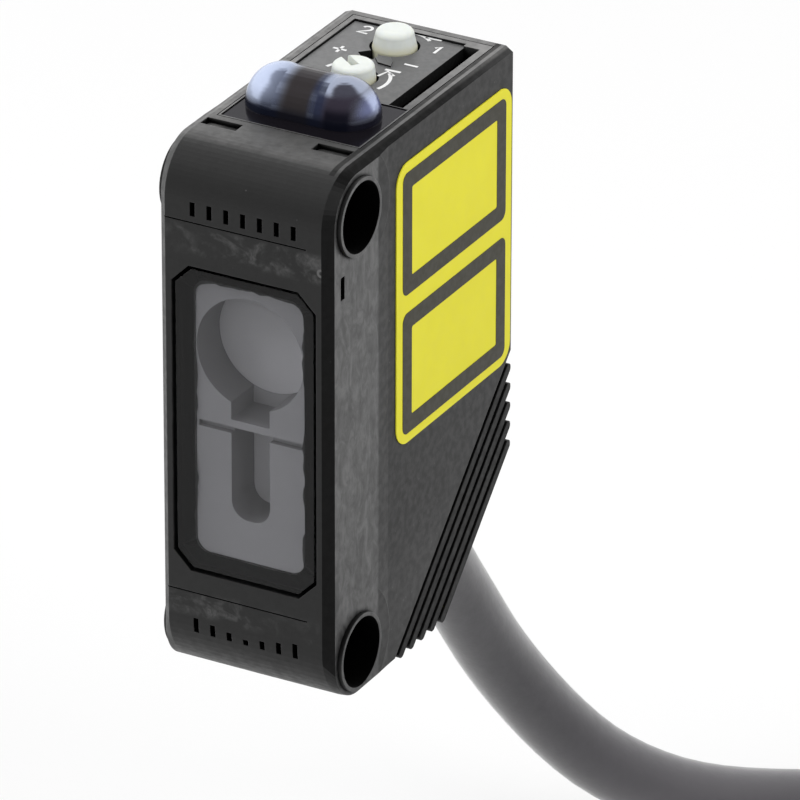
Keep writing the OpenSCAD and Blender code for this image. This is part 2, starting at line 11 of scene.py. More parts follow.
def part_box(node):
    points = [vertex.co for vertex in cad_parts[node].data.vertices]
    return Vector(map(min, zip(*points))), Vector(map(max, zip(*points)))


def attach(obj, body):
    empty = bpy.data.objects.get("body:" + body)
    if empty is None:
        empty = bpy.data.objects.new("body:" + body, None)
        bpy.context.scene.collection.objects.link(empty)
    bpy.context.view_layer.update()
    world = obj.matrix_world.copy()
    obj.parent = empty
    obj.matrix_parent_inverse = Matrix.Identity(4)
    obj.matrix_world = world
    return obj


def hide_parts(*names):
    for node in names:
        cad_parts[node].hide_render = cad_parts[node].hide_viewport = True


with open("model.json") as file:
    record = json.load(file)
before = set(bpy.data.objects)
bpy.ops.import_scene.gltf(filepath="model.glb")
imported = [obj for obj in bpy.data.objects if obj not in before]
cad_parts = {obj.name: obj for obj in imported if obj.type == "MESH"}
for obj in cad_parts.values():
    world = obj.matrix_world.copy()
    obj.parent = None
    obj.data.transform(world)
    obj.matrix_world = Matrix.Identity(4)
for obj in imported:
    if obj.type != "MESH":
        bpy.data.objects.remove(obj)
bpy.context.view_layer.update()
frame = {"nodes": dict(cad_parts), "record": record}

# Places are written as in the part's own drawing: millimetres from the case's front bottom centre
MM = 0.001
CASE_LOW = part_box("case_shell")[0]
BASE = Vector((0, CASE_LOW.y, CASE_LOW.z))


def at(x, y, z):
    """A point of the drawing, in the row frame, in metres."""
    return BASE + MM * Vector((x, y, z))


def height(z):
    """A height of the row frame, in the drawing's millimetres."""
    return (z - BASE.z) / MM


# Measures of the drawing that finishes and marks follow
CASE_TOP = 31
HOLE_Y = 2.9
HOLE_ZS = (2.8, 28.2)
RIBS_START = 6.9
RIB_PITCH = 1.15
WINDOW_Z = 15.7
CONTROL_X = -0.55
ADJUSTER_Y = 12.7
SELECTOR_Y = 17.2

# Camera, fitted to the case's corners and holes in the photo
AIM = at(3.334, 10.80, 13.69)
AZIMUTH = 28.87
ELEVATION = 26.67
ROLL = 0.11
DISTANCE = 486 * MM
LENS = 412.6
SENSOR = 36


def add_camera():
    data = bpy.data.cameras.new("camera")
    data.lens = LENS
    data.sensor_width = SENSOR
    data.clip_start = 0.01
    data.clip_end = 20
    camera = bpy.data.objects.new("camera", data)
    bpy.context.collection.objects.link(camera)
    turn = Euler((radians(90 - ELEVATION), 0, radians(AZIMUTH))).to_matrix()
    turn = turn @ Matrix.Rotation(radians(ROLL), 3, "Z")
    camera.matrix_world = Matrix.Translation(AIM + turn @ Vector((0, 0, DISTANCE))) @ turn.to_4x4()
    bpy.context.scene.camera = camera


# Pieces
def add_object(name, data, body="housing", slot=None, replaces=()):
    made = bpy.data.objects.new(name, data)
    bpy.context.collection.objects.link(made)
    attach(made, body)
    if replaces:
        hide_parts(*replaces)
    return made


def line_object(name, lines, diameter, material, sides=24, **place):
    """Round lines, such as a cable or a lead's strands, along points of the drawing."""
    curve = bpy.data.curves.new(name, "CURVE")
    curve.dimensions = "3D"
    curve.bevel_depth = diameter / 2 * MM
    curve.bevel_resolution = sides // 2 - 2
    curve.use_fill_caps = True
    for points in lines:
        spline = curve.splines.new("POLY")
        spline.points.add(len(points) - 1)
        for point, place_mm in zip(spline.points, points):
            point.co = (*at(*place_mm), 1)
    curve.materials.append(material)
    return add_object(name, curve, **place)


def smooth_line(knots, step):
    """Points about one step apart on a smooth curve through the knots."""
    knots = [Vector(k) for k in knots]
    padded = [2 * knots[0] - knots[1], *knots, 2 * knots[-1] - knots[-2]]
    line = []
    for a, b, c, d in zip(padded, padded[1:], padded[2:], padded[3:]):
        pieces = max(1, round((c - b).length / step))
        for i in range(pieces):
            t = i / pieces
            line.append(0.5 * (
                2 * b + (c - a) * t + (2 * a - 5 * b + 4 * c - d) * t**2
                + (3 * b - a - 3 * c + d) * t**3
            ))
    return [*line, knots[-1]]


# Cable: its free part runs along ROUTE, down to the surface, and leads into the hank
CABLE_D = 4
FLOOR_Z = height(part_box("cable_hank")[0].z)
ROUTE = [
    (0, 10.7, 9.4), (0, 13.4, 6.7), (0, 16.1, 4), (0.2, 17.9, 2.1), (0.5, 19.5, 0.1),
    (0.8, 20.8, -2.1), (1.3, 22, -4.4), (1.9, 23.1, -6.7), (2.7, 24.1, -8.8),
    (3.8, 25.1, -10.9), (5.1, 26.1, -12.9), (6.7, 27.1, -14.7), (8.5, 28.2, -16.1),
    (10.6, 29.5, -17.2), (12.8, 30.8, -17.8), (15.2, 32.1, -18), (17.8, 33.4, -18),
    (20.6, 34.5, -18), (23.6, 35.3, -18), (26.8, 35.6, -18), (35, 35.6, -18),
    (45.4, 35.6, -18),
]
FREE_STEP = 1.2

# Hank: turns on two lanes, in layers one pitch apart
PITCH = 4.1
INNER_R = 13
OUTER_R = INNER_R + PITCH
MIDDLE_R = (INNER_R + OUTER_R) / 2
HANK_X = ROUTE[-1][0]
HANK_Y = ROUTE[-1][1] - OUTER_R
HANK_RUN = 60
TURN = 2 * HANK_RUN + 2 * pi * MIDDLE_R
TURNS = 9
LAST_BIT = 1.6
FIRST_CHANGE = 137
CHANGE_L = 30
CHANGE_DRIFT = 10
HANK_STEP = 2.5

# Strap round the hank, and its head
TIE_X = HANK_X + HANK_RUN / 2
TIE_W = 6
TIE_T = 0.8
TIE_CORNER = 1.6
CORNER_STEPS = 8
TIE_REACH = 10
HEAD_L = 7
HEAD_WALL = 0.6


def ease(t):
    """Rises smoothly from 0 to 1 as t does."""
    return (1 - cos(pi * min(max(t, 0), 1))) / 2


def track(along, radius):
    """Place on the hank's track: distance along its middle line, and the lane's own end radius."""
    bend = pi * MIDDLE_R
    if along < HANK_RUN:
        return HANK_X + along, HANK_Y + radius
    along -= HANK_RUN
    if along < bend:
        angle = along / MIDDLE_R
        return HANK_X + HANK_RUN + radius * sin(angle), HANK_Y + radius * cos(angle)
    along -= bend
    if along < HANK_RUN:
        return HANK_X + HANK_RUN - along, HANK_Y - radius
    angle = (along - HANK_RUN) / MIDDLE_R
    return HANK_X - radius * sin(angle), HANK_Y - radius * cos(angle)


def over_tie(x):
    """How far the strap lifts the runs and draws them in, beside the place x."""
    return TIE_T * ease(1.5 - abs(x - TIE_X) / TIE_REACH)


def lane(number):
    """Radius and layer of a turn: out, in, then up and in, out, and so on."""
    radius = OUTER_R if number % 4 in (0, 3) else INNER_R
    return radius, number // 2


def hank_point(distance):
    """Place of the cable in the hank. It changes lane once a turn, each time a little sooner."""
    radius, layer = lane(0)
    for number in range(TURNS):
        (old_r, old_layer), (new_r, new_layer) = lane(number), lane(number + 1)
        done = ease((distance - FIRST_CHANGE - number * (TURN - CHANGE_DRIFT)) / CHANGE_L)
        radius += (new_r - old_r) * done
        layer += (new_layer - old_layer) * done
    x, y = track(distance % TURN, radius)
    pinch = over_tie(x)
    y -= pinch if y > HANK_Y else -pinch
    return Vector((x, y, FLOOR_Z + CABLE_D / 2 + layer * PITCH + pinch))


def cable_line():
    """The free part of the cable, then its turns, a little past the last one."""
    free = smooth_line(ROUTE, FREE_STEP)
    whole = TURNS * TURN + LAST_BIT
    count = int(whole / HANK_STEP)
    wound = [hank_point(whole * i / count) for i in range(1, count + 1)]
    return free + wound


def add_cable(finish):
    line = cable_line()
    cable = line_object(
        "cable_line", [line], CABLE_D, finish["cable"],
        slot="cable", replaces=["cable", "cable_hank"],
    )
    leads = add_leads(line[-1], finish)
    tie = add_tie(finish["tie"])


LEAD_D = 1.1
LEAD_L = 24
LEAD_PITCH = 1.25
BARE_L = 5
STRANDS = 7
STRAND_D = 0.18
STRAND_STEPS = 8


def add_leads(end, finish):
    """The stripped cores leave the jacket in a triangle, spread and lie on the layer below."""
    made = []
    low = end.z - CABLE_D / 2 + LEAD_D / 2
    for place, colour in zip((-1, 0, 1), ("brown", "blue", "black")):
        rise = 0.6 if colour == "blue" else -0.3
        knots = [
            (end.x - 1, end.y + 0.62 * place, end.z + rise),
            (end.x + 1.5, end.y + 0.66 * place, end.z + rise),
            (end.x + 6, end.y + 0.95 * place, end.z - 0.9),
            *(
                (end.x + run, end.y + LEAD_PITCH * place, low + over_tie(end.x + run))
                for run in (11, 13, 15, 17, LEAD_L - BARE_L)
            ),
        ]
        name = "lead_" + colour
        lead = line_object(
            name + "_insulation", [smooth_line(knots, 0.8)], LEAD_D, finish[name],
            sides=16, slot=name, replaces=[name],
        )
        start = knots[-1][0] - 1
        strands = []
        for i in range(STRANDS):
            spread = 0 if i == STRANDS - 1 else STRAND_D
            strand = []
            for s in range(STRAND_STEPS + 1):
                x = start + s * (BARE_L + 1) / STRAND_STEPS
                angle = i * pi / 3 + s / 2
                y = knots[-1][1] + spread * cos(angle)
                strand.append((x, y, low + over_tie(x) + spread * sin(angle)))
            strands.append(strand)
        copper = line_object(name + "_strands", strands, STRAND_D, finish["copper"], sides=8)
        made += [lead, copper]
    return made


def add_tie(material):
    """A nylon strap round the hank, with its head and cut tail on top."""
    top = FLOOR_Z + 5 * PITCH + 2 * TIE_T - 0.1
    low = FLOOR_Z + TIE_T / 2
    side = OUTER_R + PITCH / 2 - TIE_T / 2
    outline = []
    for y_sign, z_sign, first in ((1, 1, 0), (-1, 1, 90), (-1, -1, 180), (1, -1, 270)):
        y = HANK_Y + y_sign * (side - TIE_CORNER)
        z = (top - TIE_T / 2 - TIE_CORNER) if z_sign > 0 else (low + TIE_CORNER)
        for i in range(CORNER_STEPS + 1):
            angle = radians(first + 90 * i / CORNER_STEPS)
            outline.append((y + TIE_CORNER * cos(angle), z + TIE_CORNER * sin(angle), angle))
    mesh = bmesh.new()
    rings = []
    for y, z, angle in outline:
        out = Vector((0, cos(angle), sin(angle)))
        ring = []
        for across, outward in ((-1, -1), (1, -1), (1, 1), (-1, 1)):
            place = at(TIE_X + across * TIE_W / 2, y, z)
            ring.append(mesh.verts.new(place + MM * outward * TIE_T / 2 * out))
        rings.append(ring)
    join_rings(mesh, rings + rings[:1])
    head = Vector((TIE_X - TIE_W / 2 - HEAD_WALL, HANK_Y - 12, top))
    inner, outer = HEAD_WALL + TIE_W, TIE_W + 2 * HEAD_WALL
    for low_corner, high_corner in (
        # neck, floor, roof, two walls and the tail that runs through them
        ((HEAD_WALL, 0, -TIE_T / 2), (inner, HEAD_L, TIE_T / 2)),
        ((0, 0, 0.02), (outer, HEAD_L, 1)),
        ((0, 0, 2.1), (outer, HEAD_L, 3.12)),
        ((0, 0, 0.9), (HEAD_WALL, HEAD_L, 2.2)),
        ((inner, 0, 0.9), (outer, HEAD_L, 2.2)),
        ((0.9, -5.5, 1.1), (TIE_W + 0.3, 7.3, 1.9)),
    ):
        add_box(mesh, head + Vector(low_corner), head + Vector(high_corner))
    return mesh_object("tie_strap", mesh, material, bevel=0.15, slot="tie", replaces=["cable_tie"])


def join_rings(mesh, rings):
    """Four faces between each ring of four corners and the next."""
    for a, b in zip(rings, rings[1:]):
        for i in range(4):
            mesh.faces.new((a[i], b[i], b[(i + 1) % 4], a[(i + 1) % 4]))


def add_box(mesh, low, high):
    """A closed box between two points of the drawing."""
    made = bmesh.ops.create_cube(mesh, size=1)
    middle = (low + high) / 2
    size = high - low
    for vert in made["verts"]:
        vert.co = at(*(middle + Vector(vert.co[i] * size[i] for i in range(3))))


def mesh_object(name, mesh, material, bevel=0, **place):
    """Turns a bmesh into a piece with smooth shading kept to its round parts."""
    bmesh.ops.recalc_face_normals(mesh, faces=mesh.faces)
    data = bpy.data.meshes.new(name)
    mesh.to_mesh(data)
    mesh.free()
    data.materials.append(material)
    made = add_object(name, data, **place)
    if bevel:
        edge = made.modifiers.new("rounded edges", "BEVEL")
        edge.width = bevel * MM
        edge.segments = 3
        edge.limit_method = "ANGLE"
    for face in data.polygons:
        face.use_smooth = True
    data.set_sharp_from_angle(angle=radians(35))
    return made


# Materials
def srgb(text):
    """Linear colour of a plain hexadecimal one."""
    parts = [int(text[i:i + 2], 16) / 255 for i in (1, 3, 5)]
    return (*[c / 12.92 if c <= 0.04045 else ((c + 0.055) / 1.055) ** 2.4 for c in parts], 1)


def grey(value, warm=0):
    return (value * (1 + warm), value, value * (1 - warm), 1)


class Tree:
    """A node tree, with short calls for the nodes that this scene uses."""

    def __init__(self, tree):
        self.tree = tree

    def add(self, kind, operation=None, settings=None, **sockets):
        """Adds a node. A socket takes a number, a colour or another node's output."""
        made = self.tree.nodes.new("ShaderNode" + kind)
        if operation:
            made.operation = operation
        for key, value in (settings or {}).items():
            setattr(made, key, value)
        for key, value in sockets.items():
            self.put(made.inputs[key], value)
        return made

    def put(self, socket, value):
        if isinstance(value, bpy.types.NodeSocket):
            self.tree.links.new(value, socket)
        else:
            socket.default_value = value

    def math(self, operation, *values):
        made = self.add("Math", operation=operation)
        for socket, value in zip(made.inputs, values):
            self.put(socket, value)
        return made.outputs[0]

    def times(self, first, *others):
        for other in others:
            first = self.math("MULTIPLY", first, other)
        return first

    def most(self, first, *others):
        for other in others:
            first = self.math("MAXIMUM", first, other)
        return first

    def minus(self, a, b):
        return self.math("SUBTRACT", a, b)

    def ramp(self, value, low, high, out_low=0.0, out_high=1.0):
        """Takes value from low..high to out_low..out_high, smoothly and no further."""
        made = self.add("MapRange", settings={"interpolation_type": "SMOOTHSTEP"}, Value=value)
        limits = {"From Min": low, "From Max": high, "To Min": out_low, "To Max": out_high}
        for name, limit in limits.items():
            self.put(made.inputs[name], limit)
        return made.outputs["Result"]

    def against(self, vector, direction):
        """Dot product of a vector with a fixed direction."""
        dot = self.add("VectorMath", operation="DOT_PRODUCT")
        self.put(dot.inputs[0], vector)
        self.put(dot.inputs[1], direction)
        return dot.outputs["Value"]

    def blend(self, amount, a, b):
        """A surface that goes from shader a to shader b as amount goes from 0 to 1."""
        made = self.add("MixShader", Fac=amount)
        self.put(made.inputs[1], a.outputs[0])
        self.put(made.inputs[2], b.outputs[0])
        self.put(self.tree.nodes["Material Output"].inputs["Surface"], made.outputs[0])


class Paint(Tree):
    """A material whose patterns lie by their place on the drawing, in millimetres."""

    def __init__(self, name):
        self.material = bpy.data.materials.new(name)
        self.material.use_nodes = True
        super().__init__(self.material.node_tree)
        self.shader = self.tree.nodes["Principled BSDF"]
        drawing = self.add("VectorMath", operation="MULTIPLY_ADD")
        self.put(drawing.inputs[0], self.add("TexCoord").outputs["Object"])
        drawing.inputs[1].default_value = (1 / MM,) * 3
        drawing.inputs[2].default_value = tuple(-BASE / MM)
        self.place = drawing.outputs[0]
        parts = self.add("SeparateXYZ", Vector=self.place)
        self.x, self.y, self.z = parts.outputs

    def set(self, **values):
        """Sets the shader's own sockets, written with _ for a space."""
        for key, value in values.items():
            self.put(self.shader.inputs[key.replace("_", " ")], value)

    def band(self, value, low, high, soft):
        """1 between low and high, falling to 0 over soft on each side."""
        return self.times(
            self.ramp(value, low - soft, low), self.ramp(value, high, high + soft, 1.0, 0.0)
        )

    def away(self, a, a_middle, b, b_middle):
        """Distance in mm from a line along the third axis."""
        da, db = self.minus(a, a_middle), self.minus(b, b_middle)
        return self.math("SQRT", self.math("ADD", self.times(da, da), self.times(db, db)))

    def off(self, value):
        """1 where value is 0, and 0 where it is 1."""
        return self.ramp(value, 0, 1, 1.0, 0.0)

    def mix(self, amount, a, b):
        """Colour a where amount is 0, b where it is 1. The node has one set of sockets per type."""
        made = self.add("Mix", settings={"data_type": "RGBA"})
        self.put(made.inputs["Factor"], amount)
        for socket, colour in zip([i for i in made.inputs if i.type == "RGBA"], (a, b)):
            self.put(socket, colour)
        return next(o for o in made.outputs if o.type == "RGBA")

    def noise(self, scale, detail=3.0, rough=0.55, stretch=(1, 1, 1), twist=0.0):
        """Noise whose scale is in features per millimetre."""
        place = self.place
        if stretch != (1, 1, 1):
            scaled = self.add("VectorMath", operation="MULTIPLY")
            self.put(scaled.inputs[0], place)
            scaled.inputs[1].default_value = stretch
            place = scaled.outputs[0]
        made = self.add(
            "TexNoise", Vector=place, Scale=scale, Detail=detail, Roughness=rough, Distortion=twist
        )
        return made.outputs["Fac"]

    def specks(self, scale, size, share):
        """Small scattered dots: 1 on a dot, 0 elsewhere."""
        cells = self.add("TexVoronoi", Vector=self.place, Scale=scale)
        dot = self.ramp(cells.outputs["Distance"], size * 0.5, size, 1.0, 0.0)
        chosen = self.add("SeparateColor", Color=cells.outputs["Color"]).outputs[0]
        return self.times(dot, self.math("LESS_THAN", chosen, share))

    def facing(self, x, y, z, low, high):
        """1 where the surface's own normal points that way."""
        own_normal = self.add(
            "VectorTransform",
            settings={"vector_type": "NORMAL", "convert_from": "WORLD", "convert_to": "OBJECT"},
            Vector=self.add("NewGeometry").outputs["Normal"],
        )
        direction = Vector((x, y, z)).normalized()
        return self.ramp(self.against(own_normal.outputs[0], direction), low, high)

    def worn_edge(self, radius):
        """1 on sharp edges, 0 on flat and gently round faces."""
        flat = self.add("NewGeometry").outputs["Normal"]
        return self.ramp(self.against(self.rounded(radius), flat), 0.99, 0.86)

    def rounded(self, radius):
        """The normal as if edges were rounded by radius mm."""
        return self.add("Bevel", settings={"samples": 6}, Radius=radius * MM).outputs[0]

    def hollows(self, reach, low, high):
        """1 deep in grooves, gaps and slots, 0 on open faces."""
        open_sky = self.add("AmbientOcclusion", settings={"samples": 8}, Distance=reach * MM)
        return self.ramp(open_sky.outputs["AO"], low, high, 1.0, 0.0)

    def paint_shade_black(self, base, rough, shade_and_joints):
        """Sets a colour and roughness, and paints shade: black, matt and without reflection where
        the mask is 1.
        """
        self.set(
            Base_Color=self.mix(shade_and_joints, base, grey(0.001)),
            Roughness=self.math("ADD", rough, self.times(shade_and_joints, 0.4)),
            Specular_Tint=self.mix(shade_and_joints, (1, 1, 1, 1), (0, 0, 0, 1)), Specular_IOR_Level=0.5,
        )

    def bump(self, *layers, soft_edges=0.0):
        """Bump from (height in mm, texture) pairs, over edges rounded by soft_edges mm."""
        normal = self.rounded(soft_edges) if soft_edges else None
        for depth, texture in layers:
            node = self.add("Bump", Height=texture, Distance=depth * MM, Strength=1.0)
            if normal:
                self.put(node.inputs["Normal"], normal)
            normal = node.outputs[0]
        self.put(self.shader.inputs["Normal"], normal)

    def let_lamps_through(self, colour):
        """Lets the lamps' light pass a clear piece, tinted, as a real one would."""
        lamp_ray = self.add("LightPath").outputs["Is Shadow Ray"]
        self.blend(lamp_ray, self.shader, self.add("BsdfTransparent", Color=colour))


def case_paint():
    """Black moulded plastic: fine grain, weld haze beside the window, a blotchy painted reflection
    on the strips round the holes, a painted highlight on the top edge, worn edges, dust, and
    painted shade in hollows, bores and grooves.
    """
    p = Paint("case_plastic")
    base = p.mix(p.noise(0.25, 4, 0.6, twist=1.0), grey(0.008), grey(0.013))
    front = p.facing(0, -1, 0, 0.9, 0.97)
    sides = p.most(p.facing(1, 0, 0, 0.96, 0.99), p.facing(-1, 0, 0, 0.96, 0.99))
    base = p.mix(sides, base, grey(0.0175))

    # The ribs wrap the slanted corner; painted shade makes them dark from the side
    past_ribs = p.minus(p.minus(p.y, p.z), RIBS_START)
    across = p.math("FRACT", p.math("DIVIDE", past_ribs, RIB_PITCH))
    ridge = p.times(p.ramp(across, 0.2, 0.55), p.ramp(across, 0.8, 1.0, 1.0, 0.5))
    rib_shade = p.times(p.ramp(past_ribs, -0.1, 0.1), sides, p.ramp(ridge, 0, 1, 1.0, 0.35))
    base = p.mix(rib_shade, base, grey(0.003))

    # The strip round the holes gets a painted reflection, pale in blotches
    strip = p.times(sides, p.ramp(p.y, 5.0, 5.3, 1.0, 0.0))
    painted_sheen = p.noise(1.1, 5, 0.68, stretch=(1, 1.1, 0.5), twist=1.2)
    base = p.mix(p.times(strip, p.ramp(painted_sheen, 0.34, 0.7, 0.15, 1.0)), base, grey(0.09))

    # Weld haze above and below the window
    swirl = p.noise(0.8, 3, 0.6, stretch=(0.9, 1, 1.2), twist=0.8)
    grain = p.noise(2.6, 4, 0.75, twist=1.2)
    upper = p.times(p.band(p.z, 25.6, 26.7, 0.45), p.ramp(p.x, -3.6, -0.6, 0.5, 1.0))
    lower = p.times(p.band(p.z, 4.5, 5.3, 0.6), p.ramp(p.x, -1.2, 2.2, 1.0, 0.3))
    haze = p.times(
        p.most(upper, lower), p.ramp(swirl, 0.42, 0.68), front, p.ramp(grain, 0.32, 0.66, 0.25, 1.0)
    )
    base = p.mix(haze, base, grey(0.07))

    # Gate mark on the front, and a painted highlight along the top edge, paler at the rear and on
    # the left
    gate = p.times(p.band(p.away(p.x, 4.63, p.z, 26), 0.13, 0.22, 0.05), front)
    base = p.mix(gate, base, grey(0.1))
    left_rim_highlight = p.times(p.ramp(p.x, -4.4, -3.6, 1.0, 0.0), p.ramp(p.y, 3.5, 6, 0.3, 1.0))
    rim_highlight = p.times(
        p.ramp(p.z, CASE_TOP - 0.15, CASE_TOP - 0.05),
        p.most(p.ramp(p.y, 5, 19, 0.25, 1.0), left_rim_highlight),
        p.ramp(p.noise(0.9, 5, 0.7), 0.3, 0.6, 0.4, 1.0),
    )
    base = p.mix(rim_highlight, base, grey(0.13, 0.02))

    # Worn edges and dust
    scuff = p.noise(3.5, 6, 0.75, twist=1.5)
    edge = p.times(p.worn_edge(0.09), p.ramp(scuff, 0.42, 0.7))
    base = p.mix(p.times(edge, 0.5), base, grey(0.07))
    base = p.mix(p.times(p.specks(1.6, 0.09, 0.12), 0.4), base, grey(0.12))

    # Painted shade: the hollows, the bores, the ribs, the sides above the slant and the bevels are
    # painted dark; the cover's seam is a dark joint
    off_axis = p.math("MINIMUM", *(p.away(p.y, HOLE_Y, p.z, z) for z in HOLE_ZS))
    top_bevel_shade = p.times(p.facing(1, 0, 1, 0.86, 0.96), p.ramp(p.y, 13, 19, 0.75, 0.3))
    seam = p.times(p.band(p.x, 4.15, 4.4, 0.06), p.facing(0, 0, 1, 0.9, 0.97))
    shade_and_seam = p.most(
        p.hollows(0.7, 0.45, 0.82),
        p.ramp(off_axis, 1.955, 1.975, 1.0, 0.0),
        p.times(rib_shade, 0.9),
        p.times(p.minus(sides, strip), p.ramp(p.z, 3, 9, 0.0, 0.14)),
        top_bevel_shade,
        p.times(seam, 0.6),
        p.times(p.facing(1, -1, 0, 0.93, 0.985), 0.55),
    )
    rough = p.ramp(p.noise(2.2, 4), 0.3, 0.7, 0.42, 0.54)
    rough = p.minus(rough, p.times(strip, 0.1))
    p.paint_shade_black(base, p.math("ADD", rough, p.times(haze, 0.2)), shade_and_seam)
    p.bump((0.004, p.noise(14, 2)), (0.012, p.noise(1.1, 3)), soft_edges=0.07)
    return p.material


def cover_paint():
    """The top frame: the same black plastic, with a painted sheen towards the rear and on the left,
    and worn paler edges.
    """
    p = Paint("cover_plastic")
    # Painted sheen on the top face, paler towards the rear and on the left
    left = p.times(p.ramp(p.x, -4.0, -3.2, 1.0, 0.0), p.ramp(p.y, 3, 8, 0.5, 1.0))
    painted_sheen = p.times(
        p.most(p.ramp(p.y, 9, 19, 0.1, 1.0), left),
        p.ramp(p.noise(0.8, 5, 0.7), 0.3, 0.65, 0.5, 1.0),
        p.facing(0, 0, 1, 0.9, 0.97),
    )
    base = p.mix(painted_sheen, grey(0.03), grey(0.16, 0.02))
    edge = p.times(p.worn_edge(0.09), p.ramp(p.noise(4, 5, 0.7), 0.4, 0.65))
    base = p.mix(p.times(edge, 0.7), base, grey(0.2))
    base = p.mix(p.times(p.specks(2.2, 0.1, 0.16), 0.4), base, grey(0.2))
    rough = p.ramp(p.noise(2.5, 4), 0.3, 0.7, 0.38, 0.5)
    # Painted shade: black and matt in the hollows
    p.paint_shade_black(base, rough, p.hollows(1.2, 0.4, 0.75))
    p.bump((0.003, p.noise(15, 2)), (0.01, p.noise(1.3, 3)), soft_edges=0.05)
    return p.material


def panel_paint():
    """The control plate: satin grey with a fine grain, painted shade that darkens it to the right,
    and walls painted black as shade.
    """
    p = Paint("panel_plate")
    base = p.mix(p.noise(0.8, 4, 0.6), grey(0.09, -0.01), grey(0.12, -0.01))
    # Painted shade, darker to the right
    base = p.mix(p.ramp(p.x, -2.2, 2.8, 0.0, 0.5), base, grey(0.03))
    base = p.mix(p.times(p.specks(3, 0.11, 0.2), 0.3), base, grey(0.2))
    base = p.mix(p.times(p.worn_edge(0.06), 0.5), base, grey(0.24))
    rough = p.ramp(p.noise(4, 4), 0.3, 0.7, 0.4, 0.52)
    # Painted shade: the walls and hollows go black
    walls = p.off(p.facing(0, 0, 1, 0.3, 0.7))
    p.paint_shade_black(base, rough, p.most(p.hollows(0.6, 0.2, 0.5), p.times(walls, 0.9)))
    p.bump((0.002, p.noise(18, 2)), soft_edges=0.04)
    return p.material


# Clear part of the window: half its width and height, its corners, and the rear face under the bond
CLEAR_HALF = (3.22, 7.92)
CLEAR_CORNER = 0.9
BOND_Y = 0.85


def window_paint():
    """Smoky acrylic, clear over the optics. A wavy dark bond runs round them on the rear face."""
    p = Paint("window_acrylic")
    wear = p.noise(2.5, 5, 0.7)
    past = []
    for from_middle, half in zip((p.x, p.minus(p.z, WINDOW_Z)), CLEAR_HALF):
        past.append(p.most(p.minus(p.math("ABSOLUTE", from_middle), half - CLEAR_CORNER), 0.0))
    wave = p.ramp(p.noise(0.55, 2, 0.5), 0.2, 0.8, -0.16, 0.16)
    edge = p.math("ADD", p.away(past[0], 0.0, past[1], 0.0), wave)
    bond = p.times(
        p.ramp(edge, CLEAR_CORNER - 0.03, CLEAR_CORNER + 0.03), p.ramp(p.y, BOND_Y, BOND_Y + 0.05)
    )
    p.set(
        Base_Color=p.mix(bond, (0.64, 0.64, 0.66, 1), grey(0.002)),
        Roughness=p.ramp(wear, 0.35, 0.8, 0.02, 0.07), IOR=1.49, Transmission_Weight=1.0,
    )
    p.bump((0.004, p.noise(0.35, 2)), soft_edges=0.08)
    p.let_lamps_through((0.8, 0.8, 0.82, 1))
    return p.material


def seal_paint():
    p = Paint("black_rubber")
    p.set(
        Base_Color=p.mix(p.noise(2, 3), grey(0.03), grey(0.04)),
        Roughness=p.ramp(p.noise(6, 3), 0.3, 0.7, 0.55, 0.7),
    )
    p.bump((0.001, p.noise(2, 2)))
    return p.material


def optics_paint():
    """The light grey moulding behind the window, with painted shade on the walls of its recesses.
    """
    p = Paint("optics_moulding")
    base = p.mix(p.noise(0.6, 3), grey(0.46), grey(0.52))
    # Painted shade: faces that don't face the front are darker
    base = p.mix(p.facing(0, -1, 0, 0.6, 0.9), grey(0.24), base)
    p.set(Base_Color=base, Roughness=0.55, IOR=1.5)
    p.bump((0.003, p.noise(11, 2)), (0.01, p.noise(1.5, 2)), soft_edges=0.06)
    return p.material


def lens_paint():
    p = Paint("lens_plastic")
    p.set(
        Base_Color=p.mix(p.noise(0.8, 2), grey(0.86), grey(0.92)),
        Roughness=p.ramp(p.noise(3, 3), 0.3, 0.7, 0.3, 0.4), IOR=1.53,
    )
    return p.material


